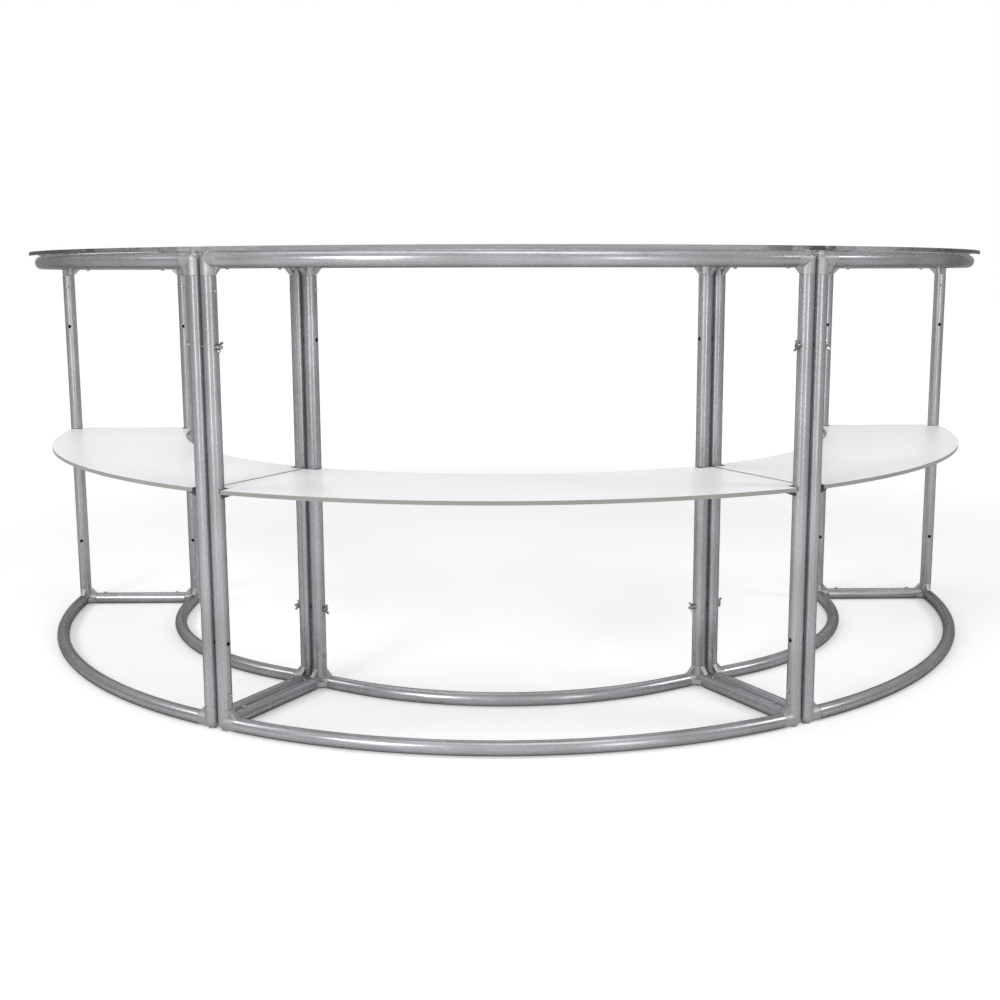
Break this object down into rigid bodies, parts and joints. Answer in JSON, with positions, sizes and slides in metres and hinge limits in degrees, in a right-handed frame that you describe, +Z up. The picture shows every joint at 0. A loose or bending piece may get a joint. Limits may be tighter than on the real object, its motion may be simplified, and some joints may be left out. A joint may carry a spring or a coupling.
{
  "type": "curved modular checkout counter",
  "caption": "Half-round exhibition and checkout counter of bolted tube bays with cast corners, white shelves and clear top panels.",
  "frame": {"origin": "on the floor, at the middle of the counter's outline", "axes": "+Z up, -Y towards the customers on the convex side, +X to the right as the customers see it"},
  "size_m": [2.5568, 1.282, 1.0195],
  "materials": {
    "tube": "satin anodised extruded tube",
    "connector": "bead-blasted casting",
    "snap_button": "zinc-plated spring steel",
    "shelf_board": "white melamine-faced board",
    "top_panel": "clear cast acrylic sheet with satin edges",
    "wing_hardware": "zinc-plated",
    "shelf_support": "dark moulded plastic"
  },
  "bodies": {
    "frame": {"left_bay_outer_post_1": "tube", "left_bay_outer_post_2": "tube", "left_bay_inner_post_1": "tube", "left_bay_inner_post_2": "tube", "centre_bay_outer_post_1": "tube", "centre_bay_outer_post_2": "tube", "centre_bay_inner_post_1": "tube", "centre_bay_inner_post_2": "tube", "right_bay_outer_post_1": "tube", "right_bay_outer_post_2": "tube", "right_bay_inner_post_1": "tube", "right_bay_inner_post_2": "tube", "left_bay_outer_curve_bottom": "tube", "left_bay_outer_curve_top": "tube", "left_bay_inner_curve_bottom": "tube", "left_bay_inner_curve_top": "tube", "centre_bay_outer_curve_bottom": "tube", "centre_bay_outer_curve_top": "tube", "centre_bay_inner_curve_bottom": "tube", "centre_bay_inner_curve_top": "tube", "right_bay_outer_curve_bottom": "tube", "right_bay_outer_curve_top": "tube", "right_bay_inner_curve_bottom": "tube", "right_bay_inner_curve_top": "tube", "left_bay_rails_1": "tube", "left_bay_rails_2": "tube", "centre_bay_rails_1": "tube", "centre_bay_rails_2": "tube", "right_bay_rails_1": "tube", "right_bay_rails_2": "tube", "left_bay_connectors_bottom": "connector", "left_bay_connectors_top": "connector", "centre_bay_connectors_bottom": "connector", "centre_bay_connectors_top": "connector", "right_bay_connectors_bottom": "connector", "right_bay_connectors_top": "connector", "shelf_supports": "shelf_support"},
    "left_top_panel": {"left_bay_top_panel": "top_panel"},
    "centre_top_panel": {"centre_bay_top_panel": "top_panel"},
    "right_top_panel": {"right_bay_top_panel": "top_panel"},
    "left_shelf": {"left_bay_shelf": "shelf_board"},
    "centre_shelf": {"centre_bay_shelf": "shelf_board"},
    "right_shelf": {"right_bay_shelf": "shelf_board"},
    "left_post_buttons_1": {"left_bay_post_buttons_1": "snap_button"},
    "left_post_buttons_2": {"left_bay_post_buttons_2": "snap_button"},
    "centre_post_buttons_1": {"centre_bay_post_buttons_1": "snap_button"},
    "centre_post_buttons_2": {"centre_bay_post_buttons_2": "snap_button"},
    "right_post_buttons_1": {"right_bay_post_buttons_1": "snap_button"},
    "right_post_buttons_2": {"right_bay_post_buttons_2": "snap_button"},
    "rail_buttons_bottom": {"rail_buttons_bottom": "snap_button"},
    "rail_buttons_top": {"rail_buttons_top": "snap_button"},
    "left_outer_wing_screw": {"left_joint_outer_wing_screw": "wing_hardware"},
    "left_outer_wing_nut": {"left_joint_outer_wing_nut": "wing_hardware"},
    "left_inner_wing_screw": {"left_joint_inner_wing_screw": "wing_hardware"},
    "left_inner_wing_nut": {"left_joint_inner_wing_nut": "wing_hardware"},
    "right_outer_wing_screw": {"right_joint_outer_wing_screw": "wing_hardware"},
    "right_outer_wing_nut": {"right_joint_outer_wing_nut": "wing_hardware"},
    "right_inner_wing_screw": {"right_joint_inner_wing_screw": "wing_hardware"},
    "right_inner_wing_nut": {"right_joint_inner_wing_nut": "wing_hardware"}
  },
  "joints": [
    {"name": "left_top_panel_lift", "type": "slide", "parent": "frame", "child": "left_top_panel", "axis": [0, 0, 1], "range_m": [0, 0.25]},
    {"name": "centre_top_panel_lift", "type": "slide", "parent": "frame", "child": "centre_top_panel", "axis": [0, 0, 1], "range_m": [0, 0.25]},
    {"name": "right_top_panel_lift", "type": "slide", "parent": "frame", "child": "right_top_panel", "axis": [0, 0, 1], "range_m": [0, 0.25]},
    {"name": "left_shelf_lift", "type": "slide", "parent": "frame", "child": "left_shelf", "axis": [0, 0, 1], "range_m": [0, 0.2]},
    {"name": "centre_shelf_lift", "type": "slide", "parent": "frame", "child": "centre_shelf", "axis": [0, 0, 1], "range_m": [0, 0.2]},
    {"name": "right_shelf_lift", "type": "slide", "parent": "frame", "child": "right_shelf", "axis": [0, 0, 1], "range_m": [0, 0.2]},
    {"name": "left_post_buttons_1_press", "type": "slide", "parent": "frame", "child": "left_post_buttons_1", "axis": [0, 1, 0], "range_m": [0, 0.0055], "stiffness_N_per_m": 800, "springref_m": -0.001},
    {"name": "left_post_buttons_2_press", "type": "slide", "parent": "frame", "child": "left_post_buttons_2", "axis": [0.866, -0.5, 0], "range_m": [0, 0.0055], "stiffness_N_per_m": 800, "springref_m": -0.001},
    {"name": "centre_post_buttons_1_press", "type": "slide", "parent": "frame", "child": "centre_post_buttons_1", "axis": [-0.866, 0.5, 0], "range_m": [0, 0.0055], "stiffness_N_per_m": 800, "springref_m": -0.001},
    {"name": "centre_post_buttons_2_press", "type": "slide", "parent": "frame", "child": "centre_post_buttons_2", "axis": [0.866, 0.5, 0], "range_m": [0, 0.0055], "stiffness_N_per_m": 800, "springref_m": -0.001},
    {"name": "right_post_buttons_1_press", "type": "slide", "parent": "frame", "child": "right_post_buttons_1", "axis": [-0.866, -0.5, 0], "range_m": [0, 0.0055], "stiffness_N_per_m": 800, "springref_m": -0.001},
    {"name": "right_post_buttons_2_press", "type": "slide", "parent": "frame", "child": "right_post_buttons_2", "axis": [0, 1, 0], "range_m": [0, 0.0055], "stiffness_N_per_m": 800, "springref_m": -0.001},
    {"name": "rail_buttons_bottom_press", "type": "slide", "parent": "frame", "child": "rail_buttons_bottom", "axis": [0, 0, -1], "range_m": [0, 0.0055], "stiffness_N_per_m": 2400, "springref_m": -0.001},
    {"name": "rail_buttons_top_press", "type": "slide", "parent": "frame", "child": "rail_buttons_top", "axis": [0, 0, 1], "range_m": [0, 0.0055], "stiffness_N_per_m": 2400, "springref_m": -0.001},
    {"name": "left_outer_wing_screw_turn", "type": "hinge", "parent": "frame", "child": "left_outer_wing_screw", "pos_m": [-0.625, -0.44026, 0.81747], "axis": [-0.866, 0.5, 0], "continuous": true},
    {"name": "left_outer_wing_nut_turn", "type": "hinge", "parent": "frame", "child": "left_outer_wing_nut", "pos_m": [-0.625, -0.44026, 0.81747], "axis": [0.866, -0.5, 0], "continuous": true},
    {"name": "left_inner_wing_screw_turn", "type": "hinge", "parent": "frame", "child": "left_inner_wing_screw", "pos_m": [-0.4625, -0.1588, 0.19248], "axis": [0.866, -0.5, 0], "continuous": true},
    {"name": "left_inner_wing_nut_turn", "type": "hinge", "parent": "frame", "child": "left_inner_wing_nut", "pos_m": [-0.4625, -0.1588, 0.19248], "axis": [-0.866, 0.5, 0], "continuous": true},
    {"name": "right_outer_wing_screw_turn", "type": "hinge", "parent": "frame", "child": "right_outer_wing_screw", "pos_m": [0.625, -0.44026, 0.81747], "axis": [-0.866, -0.5, 0], "continuous": true},
    {"name": "right_outer_wing_nut_turn", "type": "hinge", "parent": "frame", "child": "right_outer_wing_nut", "pos_m": [0.625, -0.44026, 0.81747], "axis": [0.866, 0.5, 0], "continuous": true},
    {"name": "right_inner_wing_screw_turn", "type": "hinge", "parent": "frame", "child": "right_inner_wing_screw", "pos_m": [0.4625, -0.1588, 0.19248], "axis": [0.866, 0.5, 0], "continuous": true},
    {"name": "right_inner_wing_nut_turn", "type": "hinge", "parent": "frame", "child": "right_inner_wing_nut", "pos_m": [0.4625, -0.1588, 0.19248], "axis": [-0.866, -0.5, 0], "continuous": true}
  ]
}
